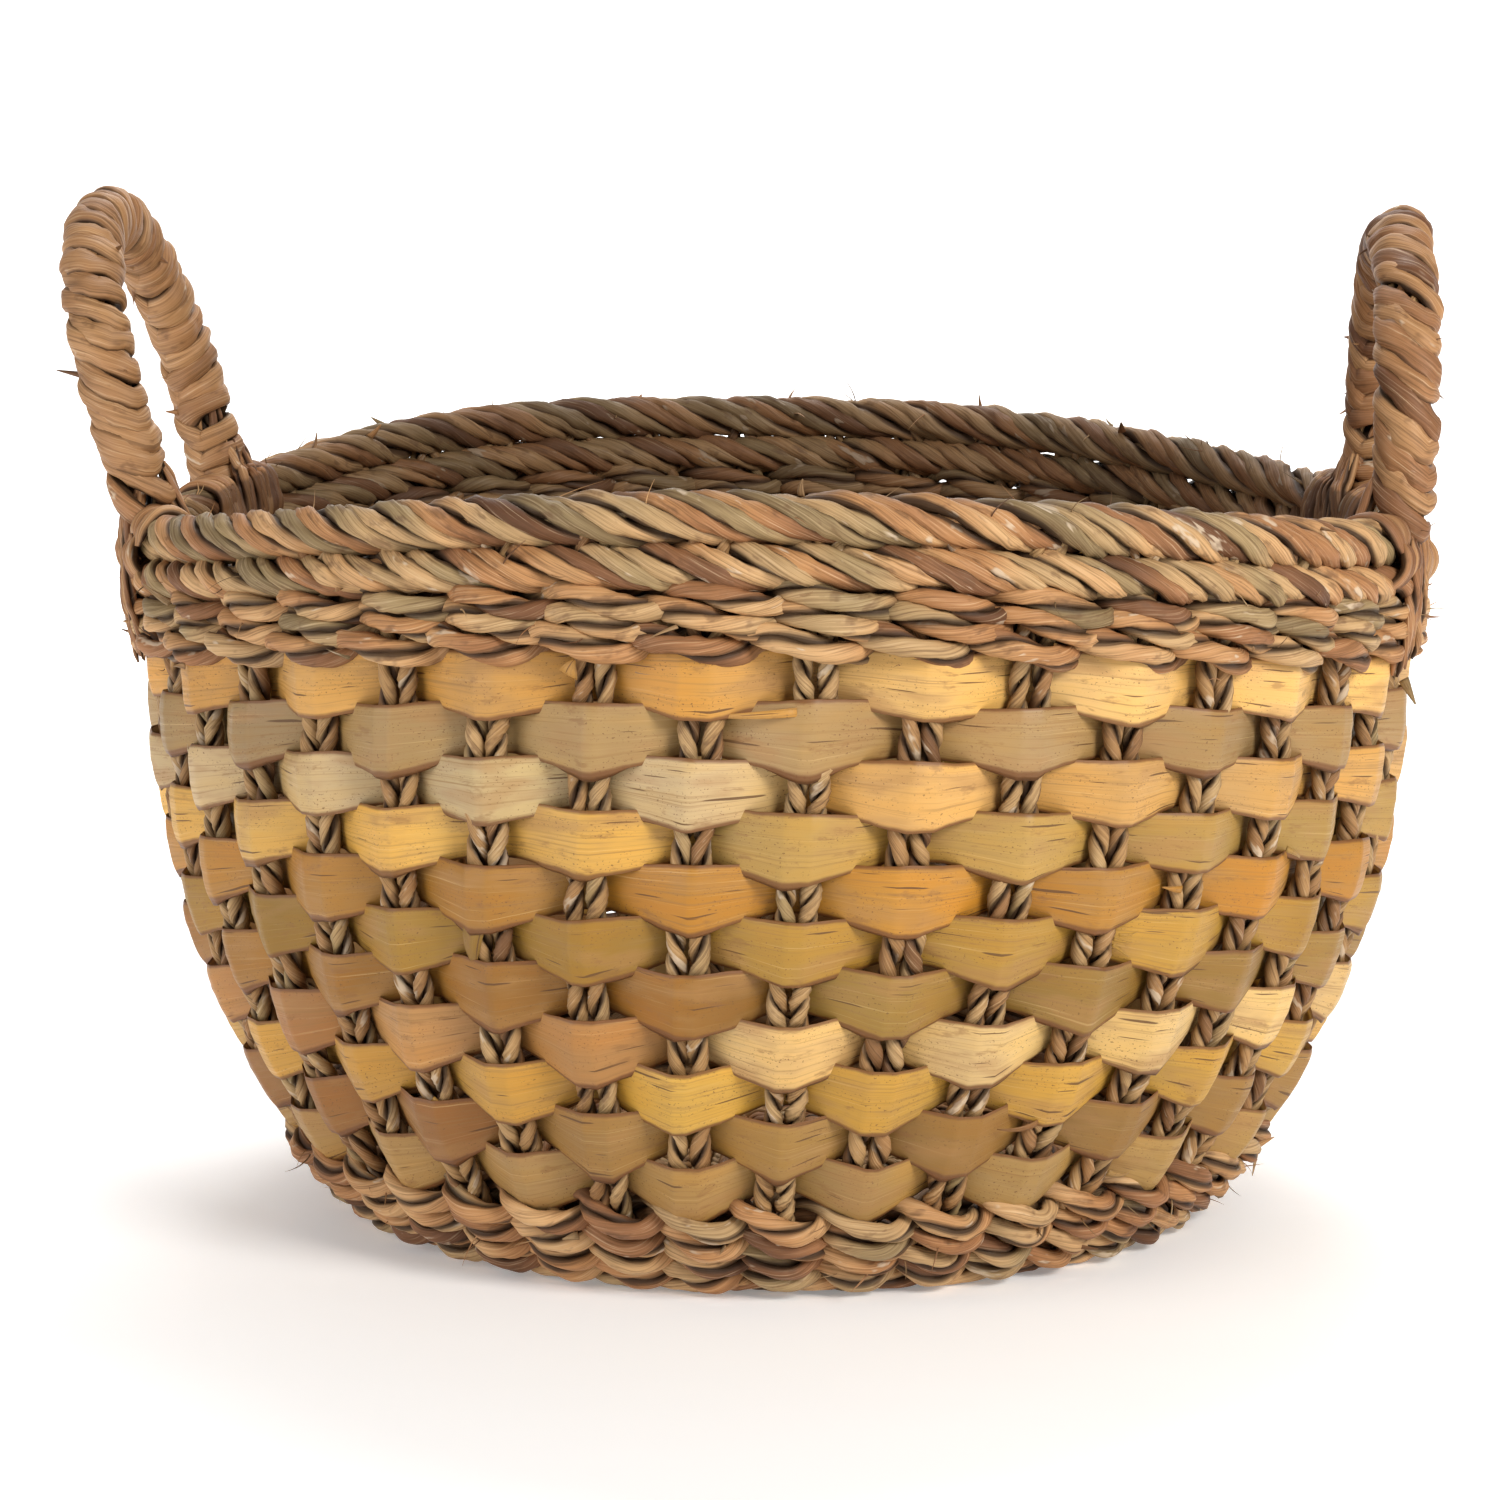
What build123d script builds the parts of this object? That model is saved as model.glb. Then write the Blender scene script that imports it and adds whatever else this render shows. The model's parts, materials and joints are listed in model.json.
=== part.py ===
from build123d import *
import math
import os

# Round woven wicker basket with two loop handles, in millimetres.
# Origin: centre of the foot ring's resting face. +Z is up, -Y is the front,
# and the handles stand on the +X and -X sides.

os.makedirs("parts", exist_ok=True)

# ---------------------------------------------------------------- driving dimensions
STAKES = 40                 # upright stakes, evenly spaced round the wall
FIRST_STAKE = 7.6           # angle of the first stake at the rim, degrees from +X
STAKE_LEAN = -5.0           # how far a stake's foot is turned from its top, degrees
RIM_HEIGHT = 216.0          # top of the rim beside the handles
RIM_RISE = 22.3             # how much higher the rim is halfway between the handles
RIM_TILT = 4.3              # how much of that rise moves from the front to the back
RIM_SWELL = 28.0            # the rim is uneven: it stands higher behind the left handle
RISE_POWER = 1.2            # how fast the rise fades towards the foot
WALL_OUTLINE = [            # height, outside radius
    (0, 126.5), (8, 136), (25, 153.5), (45, 165.5), (75, 179.5),
    (110, 190), (150, 195), (190, 197), (226, 200),
]
WALL_DEPTH = 6.0            # from the outside radius in to the middle of the stakes
GAP = 0.35                  # clearance between neighbouring rows

STAKE_WIDTH = 6.0
STAKE_THICK = 4.0
STAKE_FOOT = 11.6
STAKE_TOP = 201.4
STAKE_STATIONS = 14

STRIP_ROWS = 11             # flat folded strips, over one stake and under the next
STRIP_BAND = (28.8, 176.4)  # lower and upper edge of all strip rows together
STRIP_THICK = 1.5
STRIP_OFFSET = 3.8          # from the middle of the wall to the middle of a strip
STRIP_FLAT = 4.5            # half of the length that lies flat on a stake

CORD_THICK = 3.5            # strands of the twined rows
CORD_OFFSET = 5.6
UPPER_TWINES = 3
UPPER_BAND = (176.4, 192.4)
LOWER_TWINES = 3
LOWER_BAND = (11.8, 28.8)
WALE_BAND = (192.4, 201.6)
WALE_THICK = 5.0
WALE_OFFSET = 6.2

BORDER_RADIUS = 7.2         # rope laid along the top edge
BORDER_SIDES = 8
BORDER_STATIONS = 80

FOOT_OUTLINE = [(115, 0), (127, 0), (135, 8), (136.5, 11.2), (115, 11.2)]   # radius, height

CROSS_BARS = 5              # bars in each layer of the cross at the middle of the base
CROSS_PITCH = 13.0
CROSS_REACH = 44.0
BAR_WIDTH = 6.0
BAR_THICK = 3.2
CROSS_LOWER_Z = 2.0
CROSS_UPPER_Z = 5.5
SPOKE_Z = 4.0
SPOKE_START = 48.0
SPOKE_END = 114.5
BASE_TWINES = 5
BASE_TWINE_START = 49.0
BASE_TWINE_PITCH = 13.0
BASE_TWINE_WIDTH = 12.4
BASE_TWINE_THICK = 2.4
BASE_TWINE_LOWER_Z = 1.3
BASE_TWINE_UPPER_Z = 7.5

HANDLE_HALF_SPAN = 58.0     # half of the distance between a handle's two legs
HANDLE_CORE = 6.0           # radius of the cord bundle inside the wrapping
HANDLE_GRIP = 9.3           # outside radius of the wrapping
HANDLE_FIT = 0.1            # radial gap between the core and the wrapping
WRAP_START = 4.0            # height above the pivot at which the wrapping starts
PIVOT_HEIGHT = 228.0        # the line that a handle flexes about
RIM_RADIUS = 192.0          # middle of the border rope
PIVOT_X = 187.5
HANDLES = {                 # name: (side, height of the legs' straight part, outward lean)
    "left": (-1, 20.7, 15.5),
    "right": (1, 12.7, 1.0),
}

TIE_WIDTH = 5.0             # lashing cords that straddle the rim beside each leg
TIE_THICK = 3.0
TIE_OFFSET = 9.1
TIE_SPREAD = 11.5           # from the leg's middle to a cord's middle, along the rim
TIE_OUTER_END = 180.0
TIE_INNER_END = 150.0


# ---------------------------------------------------------------- wall geometry
def wall_radius(height):
    """Radius of the middle of the wall at a height, before the rim's rise."""
    for (low, r_low), (high, r_high) in zip(WALL_OUTLINE, WALL_OUTLINE[1:]):
        if height <= high:
            share = (height - low) / (high - low)
            return r_low + (r_high - r_low) * share - WALL_DEPTH
    return WALL_OUTLINE[-1][1] - WALL_DEPTH


def rise(angle, height):
    """Extra height at an angle, because the rim dips beside the handles."""
    across = math.sin(math.radians(angle))
    along = math.cos(math.radians(angle))
    swell = (max(across, 0) * min(along, 0))**2
    lift = RIM_RISE * across**2 + RIM_TILT * across + RIM_SWELL * swell
    return lift * (height / RIM_HEIGHT)**RISE_POWER


def stake_angle(index):
    return FIRST_STAKE + 360.0 / STAKES * index


def wall_point(angle, height, offset):
    """A point of the leaning, rising wall: offset is outwards from its middle."""
    turned = angle + STAKE_LEAN * (1 - height / RIM_HEIGHT)
    radius = wall_radius(height) + offset
    x = radius * math.cos(math.radians(turned))
    y = radius * math.sin(math.radians(turned))
    return Vector(x, y, height + rise(turned, height))


def skin(stations, closed):
    """Closed solid through a row of polygons, as a ring or with two end faces."""
    faces = []
    sides = len(stations[0])
    following = stations[1:] + stations[:1] if closed else stations[1:]
    for near, far in zip(stations, following):
        for i in range(sides):
            j = (i + 1) % sides
            faces.append(Face(Wire.make_polygon([near[i], near[j], far[j]])))
            faces.append(Face(Wire.make_polygon([near[i], far[j], far[i]])))
    if not closed:
        for end in (stations[0][::-1], stations[-1]):
            for i in range(1, sides - 1):
                faces.append(Face(Wire.make_polygon([end[0], end[i], end[i + 1]])))
    return Solid(Shell(faces))


def write(name, solids):
    export_step(Compound(children=list(solids), label=name), f"parts/{name}.step")


# ---------------------------------------------------------------- wall pieces
def stake(index):
    """One upright, from above the foot ring to under the border rope."""
    stations = []
    for step in range(STAKE_STATIONS):
        height = STAKE_FOOT + (STAKE_TOP - STAKE_FOOT) * step / (STAKE_STATIONS - 1)
        half = math.degrees(STAKE_WIDTH / 2 / wall_radius(height))
        corners = []
        for turn, out in ((-1, -1), (-1, 1), (1, 1), (1, -1)):
            angle = stake_angle(index) + turn * half
            corners.append(wall_point(angle, height, out * STAKE_THICK / 2))
        stations.append(corners)
    return skin(stations[::-1], closed=False)


def woven_ring(low, high, thick, offset, flat, phase):
    """A strand that passes outside one stake and inside the next, all the way round."""
    stations = []
    for index in range(STAKES):
        side = 1 if (index + phase) % 2 == 0 else -1
        for along in ([-flat, flat] if flat else [0]):
            angle = stake_angle(index) + math.degrees(along / wall_radius(low))
            inner = side * offset - thick / 2
            outer = side * offset + thick / 2
            stations.append([
                wall_point(angle, low, inner), wall_point(angle, low, outer),
                wall_point(angle, high, outer), wall_point(angle, high, inner),
            ])
    return skin(stations, closed=True)


def strip_row(row):
    """Row 1 is the highest; neighbouring rows go opposite ways round a stake."""
    low, high = STRIP_BAND
    pitch = (high - low) / STRIP_ROWS
    top = high - pitch * (row - 1)
    return woven_ring(top - pitch + GAP, top, STRIP_THICK, STRIP_OFFSET, STRIP_FLAT, row)


def twined_row(low, high, thick, offset, phase):
    """Two strands, one over the other, that go opposite ways round every stake."""
    middle = (low + high) / 2
    return [
        woven_ring(low + GAP, middle, thick, offset, 0, phase),
        woven_ring(middle + GAP, high, thick, offset, 0, phase + 1),
    ]


def twined_band(band, rows, row):
    low, high = band
    pitch = (high - low) / rows
    top = high - pitch * (row - 1)
    return twined_row(top - pitch, top, CORD_THICK, CORD_OFFSET, row)


def border_rope():
    """Round rope along the top edge, following the rise of the rim."""
    middle = RIM_HEIGHT - BORDER_RADIUS
    stations = []
    for step in range(BORDER_STATIONS):
        angle = 360.0 / BORDER_STATIONS * step
        corners = []
        for side in range(BORDER_SIDES):
            turn = 2 * math.pi * (side + 0.5) / BORDER_SIDES
            radius = RIM_RADIUS + BORDER_RADIUS * math.cos(turn)
            x = radius * math.cos(math.radians(angle))
            y = radius * math.sin(math.radians(angle))
            z = middle + rise(angle, middle) + BORDER_RADIUS * math.sin(turn)
            corners.append(Vector(x, y, z))
        stations.append(corners)
    return skin(stations, closed=True)


def foot_ring():
    outline = make_face(Polyline(*[(r, 0, z) for r, z in FOOT_OUTLINE], close=True))
    return revolve(outline, Axis.Z)


# ---------------------------------------------------------------- base pieces
def cross_layer(bottom, turn):
    """Parallel bars of one layer of the cross, each as long as its circle allows."""
    bars = []
    for index in range(CROSS_BARS):
        across = (index - (CROSS_BARS - 1) / 2) * CROSS_PITCH
        reach = math.sqrt(CROSS_REACH**2 - across**2)
        bar = Pos(0, across, bottom) * Box(
            2 * reach, BAR_WIDTH, BAR_THICK, align=(Align.CENTER, Align.CENTER, Align.MIN))
        bars.append(bar.rotate(Axis.Z, turn))
    return bars


def base_spoke(index):
    length = SPOKE_END - SPOKE_START
    spoke = Pos(SPOKE_START, 0, SPOKE_Z) * Box(
        length, BAR_WIDTH, BAR_THICK, align=(Align.MIN, Align.CENTER, Align.MIN))
    return spoke.rotate(Axis.Z, stake_angle(index) + STAKE_LEAN)


def base_twine(row):
    """One turn of twining: a strand below the spokes and a strand above them."""
    inner = BASE_TWINE_START + BASE_TWINE_PITCH * (row - 1)
    section = Circle(inner + BASE_TWINE_WIDTH) - Circle(inner)
    strands = []
    for bottom in (BASE_TWINE_LOWER_Z, BASE_TWINE_UPPER_Z):
        strands.append(Pos(0, 0, bottom) * extrude(section, BASE_TWINE_THICK))
    return strands


# ---------------------------------------------------------------- handles
def arch_tube(radius, straight, start):
    """Half a torus on two short legs. The legs start above the pivot line by start."""
    span = HANDLE_HALF_SPAN
    arch = revolve(Pos(0, -span, 0) * Circle(radius), Axis.X, -180)
    tube = Pos(0, 0, straight) * arch
    if straight > start:
        for y in (-span, span):
            leg = Pos(0, y, start) * Cylinder(
                radius, straight - start, align=(Align.CENTER, Align.CENTER, Align.MIN))
            tube = tube + leg
    return tube


def place_handle(shape, side, lean):
    """Stand a handle on its pivot line and lean it outwards."""
    shape = shape.rotate(Axis.Y, side * lean)
    return Pos(side * PIVOT_X, 0, PIVOT_HEIGHT) * shape


def handle_core(side, straight, lean):
    core = arch_tube(HANDLE_CORE, straight, 0)
    for y in (-HANDLE_HALF_SPAN, HANDLE_HALF_SPAN):
        core = core + Pos(0, y, 0) * Sphere(HANDLE_CORE)
    return place_handle(core, side, lean)


def handle_wrap(side, straight, lean):
    wrap = arch_tube(HANDLE_GRIP, straight, WRAP_START)
    wrap = wrap - arch_tube(HANDLE_CORE + HANDLE_FIT, straight, WRAP_START)
    clear = 2 * (HANDLE_HALF_SPAN + HANDLE_GRIP)
    below = Pos(0, 0, WRAP_START) * Box(
        clear, clear, clear, align=(Align.CENTER, Align.CENTER, Align.MAX))
    return place_handle(wrap - below, side, lean)


def tie(angle):
    """A lashing cord over the rim, down the outside and further down the inside."""
    top = RIM_HEIGHT + rise(angle, RIM_HEIGHT) + 2 * GAP
    outer = RIM_RADIUS + TIE_OFFSET
    inner = RIM_RADIUS - TIE_OFFSET
    inner_low = wall_radius(TIE_INNER_END) - TIE_OFFSET
    outline = make_face(Polyline(
        (outer, 0, TIE_OUTER_END), (outer + TIE_THICK, 0, TIE_OUTER_END),
        (outer + TIE_THICK, 0, top + TIE_THICK), (inner - TIE_THICK, 0, top + TIE_THICK),
        (inner_low - TIE_THICK, 0, TIE_INNER_END), (inner_low, 0, TIE_INNER_END),
        (inner, 0, top), (outer, 0, top), close=True))
    return extrude(outline, TIE_WIDTH / 2, both=True).rotate(Axis.Z, angle)


def leg_lashing(side, end):
    """The two cords beside one leg. end is -1 for the front leg and 1 for the back."""
    leg = math.degrees(math.asin(HANDLE_HALF_SPAN / RIM_RADIUS)) * end * side
    leg = leg if side > 0 else 180 + leg
    spread = math.degrees(TIE_SPREAD / RIM_RADIUS)
    return [tie(leg - spread), tie(leg + spread)]


# ---------------------------------------------------------------- assembly
for row in range(1, STRIP_ROWS + 1):
    write(f"strip_row_{row:02d}", [strip_row(row)])
for row in range(1, UPPER_TWINES + 1):
    write(f"upper_twine_{row}", twined_band(UPPER_BAND, UPPER_TWINES, row))
for row in range(1, LOWER_TWINES + 1):
    write(f"lower_twine_{row}", twined_band(LOWER_BAND, LOWER_TWINES, row))
write("rim_wale", twined_row(*WALE_BAND, WALE_THICK, WALE_OFFSET, 0))
write("rim_border", [border_rope()])
write("foot_ring", [foot_ring()])

STAKES_PER_NODE = 4
for group in range(STAKES // STAKES_PER_NODE):
    first = group * STAKES_PER_NODE
    write(f"stakes_{group + 1:02d}", [stake(first + i) for i in range(STAKES_PER_NODE)])

write("base_cross_lower", cross_layer(CROSS_LOWER_Z, 0))
write("base_cross_upper", cross_layer(CROSS_UPPER_Z, 90))
write("base_spokes", [base_spoke(index) for index in range(STAKES)])
for row in range(1, BASE_TWINES + 1):
    write(f"base_twine_{row}", base_twine(row))

for name, (side, straight, lean) in HANDLES.items():
    write(f"handle_{name}_core", [handle_core(side, straight, lean)])
    write(f"handle_{name}_wrap", [handle_wrap(side, straight, lean)])
    write(f"lashing_{name}_front", leg_lashing(side, -1))
    write(f"lashing_{name}_back", leg_lashing(side, 1))
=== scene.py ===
import json
import math

import bpy
import numpy as np
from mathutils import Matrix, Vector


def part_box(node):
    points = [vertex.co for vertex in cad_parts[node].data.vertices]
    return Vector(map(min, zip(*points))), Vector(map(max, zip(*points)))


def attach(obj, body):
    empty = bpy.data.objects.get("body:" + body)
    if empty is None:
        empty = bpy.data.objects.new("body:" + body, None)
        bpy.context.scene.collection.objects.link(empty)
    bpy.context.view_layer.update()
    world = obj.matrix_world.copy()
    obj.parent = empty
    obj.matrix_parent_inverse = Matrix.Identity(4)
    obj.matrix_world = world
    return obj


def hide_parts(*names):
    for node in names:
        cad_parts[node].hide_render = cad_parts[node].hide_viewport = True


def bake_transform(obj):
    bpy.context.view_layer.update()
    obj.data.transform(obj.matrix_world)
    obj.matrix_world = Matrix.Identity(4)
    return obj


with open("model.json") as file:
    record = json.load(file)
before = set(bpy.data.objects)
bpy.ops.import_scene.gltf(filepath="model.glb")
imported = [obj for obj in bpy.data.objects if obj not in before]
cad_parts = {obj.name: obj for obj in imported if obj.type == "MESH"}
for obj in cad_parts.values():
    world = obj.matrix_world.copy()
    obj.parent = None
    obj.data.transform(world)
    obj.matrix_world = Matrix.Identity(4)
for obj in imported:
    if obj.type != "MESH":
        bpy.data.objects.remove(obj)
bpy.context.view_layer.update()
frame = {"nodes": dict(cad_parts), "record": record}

# Woven basket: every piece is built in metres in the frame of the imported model.
# Angles go anticlockwise from +X, the front is at -Y, heights are before the rim's rise.

MM = 0.001
TAU = 2 * math.pi

STAKES = 40
FIRST_STAKE = math.radians(7.6)
STAKE_LEAN = math.radians(-5.0)
RIM_RISE = 22.3 * MM
RIM_TILT = 4.3 * MM
RIM_SWELL = 28 * MM         # the rim stands higher behind the left handle
RISE_POWER = 1.2
STAKE_HALF_GAP = 3.05 * MM  # from the middle of a stake to the middle of either cord
STRIP_ROWS = 11
STRIP_OFFSET = 4.5 * MM     # from the middle of the stakes to the middle of a strip
STRIP_THICK = 1.2 * MM
STRIP_LIFT = 0.7 * MM       # a strip sits a little above the middle of its row
STRIP_REACH = 4.6 * MM      # from the middle of the wall to the outside of a CAD strip row
TWINE_REACH = 7.3 * MM      # and of a CAD twined row
CREST_HEIGHT = 17.9 * MM    # a strip is tall where it lies over a stake
TUCK_HEIGHT = 13.7 * MM     # and low where it goes behind the next
RIM_TOP = 216 * MM
BORDER_HALF = 7 * MM        # half the height and half the width of the border
WALE_TOP = RIM_TOP - 14.4 * MM
HANDLE_CORE = 5.6 * MM
HANDLE_GRIP = 9.3 * MM


# ---------------- places from the frame
def low_of(node):
    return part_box(node)[0].z


def reach_of(node):
    low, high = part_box(node)
    return (high.x - low.x) / 2


strip_nodes = [f"strip_row_{row:02d}" for row in range(1, STRIP_ROWS + 1)]
lower_nodes = [f"lower_twine_{row}" for row in (1, 2, 3)]
upper_nodes = sorted(name for name in frame["nodes"] if name.startswith("upper_twine"))
wall_nodes = ["rim_wale"] + upper_nodes + strip_nodes + lower_nodes   # from the top down

RIM_RADIUS = reach_of("rim_border") - BORDER_HALF
row_low = {name: low_of(name) for name in wall_nodes}
row_top = dict(zip(wall_nodes[1:], [row_low[name] for name in wall_nodes]))
row_top["rim_wale"] = WALE_TOP


def middle_of(row):
    return (row_low[row] + row_top[row]) / 2


def outline():
    """Middle of the wall as heights and radii, read from the foot ring and the strip rows."""
    foot = reach_of("foot_ring")
    heights = [0.0, 9 * MM]
    radii = [foot - 16 * MM, foot - 5.5 * MM]
    for name in lower_nodes[::-1] + strip_nodes[::-1]:
        heights.append(row_top[name])
        radii.append(reach_of(name) - (TWINE_REACH if name in lower_nodes else STRIP_REACH))
    heights.append(RIM_TOP)
    radii.append(RIM_RADIUS + 1 * MM)
    return np.array(heights), np.array(radii)


WALL_Z, WALL_R = outline()


def smooth_wall():
    """The outline with its corners rounded, as fine steps of height and radius."""
    reach = 15
    fine = np.linspace(0, RIM_TOP + 10 * MM, 240)
    radius = np.interp(fine, WALL_Z, WALL_R)
    kernel = np.hanning(2 * reach + 1)
    kernel /= kernel.sum()
    below = 2 * radius[0] - radius[reach:0:-1]
    above = 2 * radius[-1] - radius[-2:-reach - 2:-1]
    return fine, np.convolve(np.concatenate([below, radius, above]), kernel, mode="valid")


WALL_FINE, WALL_SMOOTH = smooth_wall()


def wall_radius(z):
    """Radius of the middle of the wall at a height before the rise."""
    return np.interp(z, WALL_FINE, WALL_SMOOTH)


def rise(angle, z):
    """How much higher the uneven wall stands at this angle, in full at the rim and none at the foot."""
    across = np.sin(angle)
    swell = (np.maximum(across, 0) * np.minimum(np.cos(angle), 0))**2
    lift = RIM_RISE * across**2 + RIM_TILT * across + RIM_SWELL * swell
    return lift * (np.clip(z, 0, None) / RIM_TOP)**RISE_POWER


def wall_point(angle, z, offset):
    """Points of the leaning, rising wall. offset is outwards, square to the wall's slope."""
    angle = np.asarray(angle, float)
    z = np.asarray(z, float) + 0 * angle
    turned = angle + STAKE_LEAN * (1 - z / RIM_TOP)
    slope = (wall_radius(z + 2 * MM) - wall_radius(z - 2 * MM)) / (4 * MM)
    tilt = np.arctan(slope)
    radius = wall_radius(z) + offset * np.cos(tilt)
    height = z + rise(turned, z) - offset * np.sin(tilt)
    return np.stack([radius * np.cos(turned), radius * np.sin(turned), height], -1)


def stake_angle(index):
    """The stakes count round from the right, over the back, and stake 29 is at the front."""
    return FIRST_STAKE + TAU / STAKES * index


# ---------------- small numeric helpers
def wobble(x, rng, period, amount, octaves=3, closed=None):
    """Smooth random curve of x. closed is the length after which it repeats."""
    x = np.asarray(x, float)
    total = np.zeros_like(x)
    for octave in range(octaves):
        rate = 2**octave / period
        if closed:
            rate = max(1, round(rate * closed)) / closed
        phase = rng.uniform(0, TAU)
        total += np.sin(TAU * rate * x + phase) * amount / 2**octave
    return total


def unit(v):
    return v / np.maximum(np.linalg.norm(v, axis=-1, keepdims=True), 1e-12)


def lengths_along(points):
    step = np.linalg.norm(np.diff(points, axis=0), axis=1)
    return np.concatenate([[0], np.cumsum(step)])


def tangents(points, closed):
    if closed:
        return unit(np.roll(points, -1, 0) - np.roll(points, 1, 0))
    return unit(np.gradient(points, axis=0))


def smoothstep(x, low, high):
    t = np.clip((x - low) / (high - low), 0, 1)
    return t * t * (3 - 2 * t)


# ---------------- mesh building
class Weave:
    """Collects strips and plies of one piece, then makes one mesh object of them."""

    def __init__(self):
        self.points, self.corners, self.starts = [], [], []
        self.uvs, self.tints, self.marks = [], [], []
        self.count = 0
        self.loops = 0

    def grid(self, points, u, v, tint, mark, closed):
        """Add a tube. points is rows x sides x 3, u is per row and v per side.

        A tube that isn't closed on itself gets a cap on each end.
        """
        rows, sides = points.shape[:2]
        index = np.arange(rows * sides).reshape(rows, sides) + self.count
        near, far = (index, np.roll(index, -1, 0)) if closed else (index[:-1], index[1:])
        quads = np.stack([near, np.roll(near, -1, 1), np.roll(far, -1, 1), far], -1).reshape(-1, 4)
        spans = rows if closed else rows - 1
        u_next = np.append(u, 2 * u[-1] - u[-2])
        v_next = np.append(v, 2 * v[-1] - v[-2])
        ua = np.repeat(u_next[:spans], sides)
        ub = np.repeat(u_next[1:spans + 1], sides)
        va = np.tile(v_next[:-1], spans)
        vb = np.tile(v_next[1:], spans)
        uv = np.stack([np.stack([ua, va], -1), np.stack([ua, vb], -1),
                       np.stack([ub, vb], -1), np.stack([ub, va], -1)], 1)
        self.points.append(points.reshape(-1, 3))
        self.marks.append(np.broadcast_to(mark, (rows, sides)).reshape(-1))
        self.tints.append(np.broadcast_to(tint, (rows, sides, 3)).reshape(-1, 3))
        self.corners.append(quads.reshape(-1))
        self.starts.append(self.loops + 4 * np.arange(len(quads)))
        self.uvs.append(uv.reshape(-1, 2))
        self.loops += quads.size
        self.count += rows * sides
        if not closed:
            for ring, at in ((index[0][::-1], u[0]), (index[-1], u[-1])):
                self.corners.append(ring)
                self.starts.append(np.array([self.loops]))
                self.uvs.append(np.stack([np.full(sides, at), np.zeros(sides)], -1))
                self.loops += sides

    def piece(self, name, material, slot, body="root", nodes=()):
        """Make the mesh object, ride it on its body and let it replace its CAD nodes."""
        mesh = bpy.data.meshes.new(name)
        points = np.concatenate(self.points)
        corners = np.concatenate(self.corners)
        starts = np.concatenate(self.starts)
        mesh.vertices.add(len(points))
        mesh.vertices.foreach_set("co", points.astype(np.float32).reshape(-1))
        mesh.loops.add(len(corners))
        mesh.loops.foreach_set("vertex_index", corners.astype(np.int32))
        mesh.polygons.add(len(starts))
        mesh.polygons.foreach_set("loop_start", starts.astype(np.int32))
        mesh.update(calc_edges=True)
        mesh.polygons.foreach_set("use_smooth", np.ones(len(starts), bool))
        grain = mesh.uv_layers.new(name="grain")
        grain.data.foreach_set("uv", np.concatenate(self.uvs).astype(np.float32).reshape(-1))
        tint = mesh.attributes.new("tint", "FLOAT_VECTOR", "POINT")
        tint.data.foreach_set("vector", np.concatenate(self.tints).astype(np.float32).reshape(-1))
        mark = mesh.attributes.new("mark", "FLOAT", "POINT")
        mark.data.foreach_set("value", np.concatenate(self.marks).astype(np.float32))
        mesh.materials.append(material)
        mesh.validate()
        obj = bpy.data.objects.new(name, mesh)
        bpy.context.scene.collection.objects.link(obj)
        if body:
            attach(obj, body)
        if nodes:
            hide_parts(*nodes)
        return obj


def inside_of(points):
    """1 for points on the inner side of the wall, where the cords' colour is darkened as painted shade."""
    angle = np.arctan2(points[..., 1], points[..., 0])
    z = points[..., 2] - rise(angle, points[..., 2])
    depth = wall_radius(z) - np.hypot(points[..., 0], points[..., 1])
    return smoothstep(depth, -4.5 * MM, 3 * MM) * (z < RIM_TOP) * (z > 12 * MM)


def add_ply(weave, centre, out, closed, thick, wide, rng, sides=8, taper=False, deep=1.0):
    """One flattened ply along centre. out is the way its thin side faces, point by point.

    deep says how far round its sides the painted shade of the crevices comes.
    """
    along = tangents(centre, closed)
    out = unit(out - (out * along).sum(-1, keepdims=True) * along)
    across = np.cross(along, out)
    s = lengths_along(centre)
    turn = TAU * np.arange(sides) / sides
    total = s[-1] if closed else None
    swell = 1 + wobble(s, rng, 24 * MM, 0.08, 3, total)
    if taper:
        ends = np.minimum(s, s[-1] - s) / (5 * MM)
        swell = swell * np.clip(ends, 0.12, 1)**0.5
    crease = 0.11 * np.sin(3 * turn[None, :] + wobble(s, rng, 40 * MM, 2.5, 2, total)[:, None])
    ring_out = np.cos(turn)[None, :] * (1 + crease) * (thick * swell)[:, None]
    ring_across = np.sin(turn)[None, :] * (1 + crease) * (wide * swell)[:, None]
    points = centre[:, None] + out[:, None] * ring_out[..., None] + across[:, None] * ring_across[..., None]
    tint = np.broadcast_to(rng.uniform(0, 1, 3), points.shape).copy()
    # how far inside the basket, which the cord material paints as shade
    tint[..., 2] = inside_of(points)
    # mark is painted shade on the side of each ply that faces the cord's middle, where the crevices are
    shade = deep * (0.5 - 0.5 * np.cos(turn))
    v = turn / TAU * 2.6 * (thick + np.mean(wide))
    weave.grid(points, s, v, tint, np.broadcast_to(shade, points.shape[:2]), closed)


def add_strand(weave, path, out, closed, radius, pitch, rng, plies=2, hand=1, sides=8, taper=False,
               core=0.5):
    """A cord of twisted plies along path. hand is 1 or -1 for the way it is twisted."""
    along = tangents(path, closed)
    out = unit(out - (out * along).sum(-1, keepdims=True) * along)
    across = np.cross(along, out)
    s = lengths_along(path)
    total = s[-1] + (np.linalg.norm(path[0] - path[-1]) if closed else 0)
    turns = total / pitch
    if closed:
        turns = max(1, round(turns))
    start = rng.uniform(0, TAU)
    uneven = wobble(s, rng, 70 * MM, 0.35, 3, total if closed else None)
    offset = radius * (core if plies == 2 else 1 - 1.25 / (plies + 1))
    for ply in range(plies):
        angle = hand * (TAU * turns * s / total + uneven) + start + TAU * ply / plies
        push = np.cos(angle)[:, None] * out + np.sin(angle)[:, None] * across
        centre = path + push * offset
        size = radius - offset
        add_ply(weave, centre, push, closed, size * 1.02, size * 1.32, rng, sides, taper)


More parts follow.
